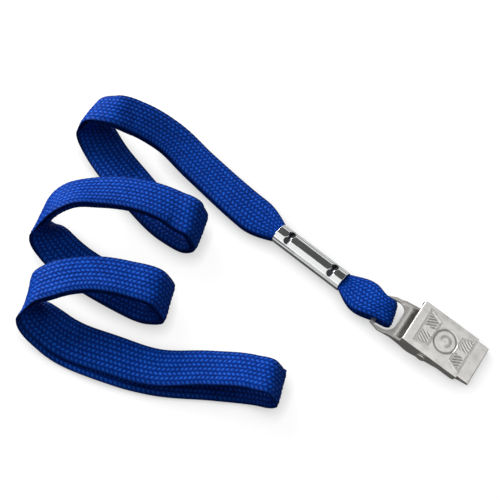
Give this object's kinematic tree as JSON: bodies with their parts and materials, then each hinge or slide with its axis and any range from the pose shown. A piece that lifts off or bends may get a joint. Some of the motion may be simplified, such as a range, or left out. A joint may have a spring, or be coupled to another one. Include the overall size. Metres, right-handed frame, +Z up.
{
  "type": "lanyard badge holder",
  "caption": "Flat braided neck lanyard, coiled on a surface, with a crimp sleeve and a sprung bulldog badge clip.",
  "frame": {"origin": "middle of the clip's flat underside, on the surface the part lies on", "axes": "+X along the clip towards its jaw, +Z up, +Y across the clip"},
  "size_m": [0.1178, 0.0708, 0.014],
  "materials": {
    "blue_braid": "royal blue polyester flat braid",
    "bright_nickel": "bright nickel plated tube",
    "satin_nickel": "satin nickel plated steel sheet",
    "spring_steel": "plated spring strip"
  },
  "bodies": {
    "lanyard": {"braid_outer_run": "blue_braid", "braid_inner_run": "blue_braid", "braid_clip_loop": "blue_braid", "crimp_sleeve": "bright_nickel"},
    "clip_base": {"base_jaw": "satin_nickel", "hinge_pin": "satin_nickel", "leaf_spring": "spring_steel"},
    "clip_lever": {"lever_jaw": "satin_nickel"}
  },
  "joints": [
    {"name": "clip_swing", "type": "hinge", "parent": "lanyard", "child": "clip_base", "pos_m": [-0.0176, 0, 0.0029], "axis": [0, -1, 0], "range_deg": [-75, 75]},
    {"name": "lever_squeeze", "type": "hinge", "parent": "clip_base", "child": "clip_lever", "pos_m": [-0.003, 0, 0.0032], "axis": [0, -1, 0], "range_deg": [0, 30], "stiffness_Nm_per_rad": 0.02, "springref_deg": -28.65, "deforming": ["leaf_spring"]}
  ]
}
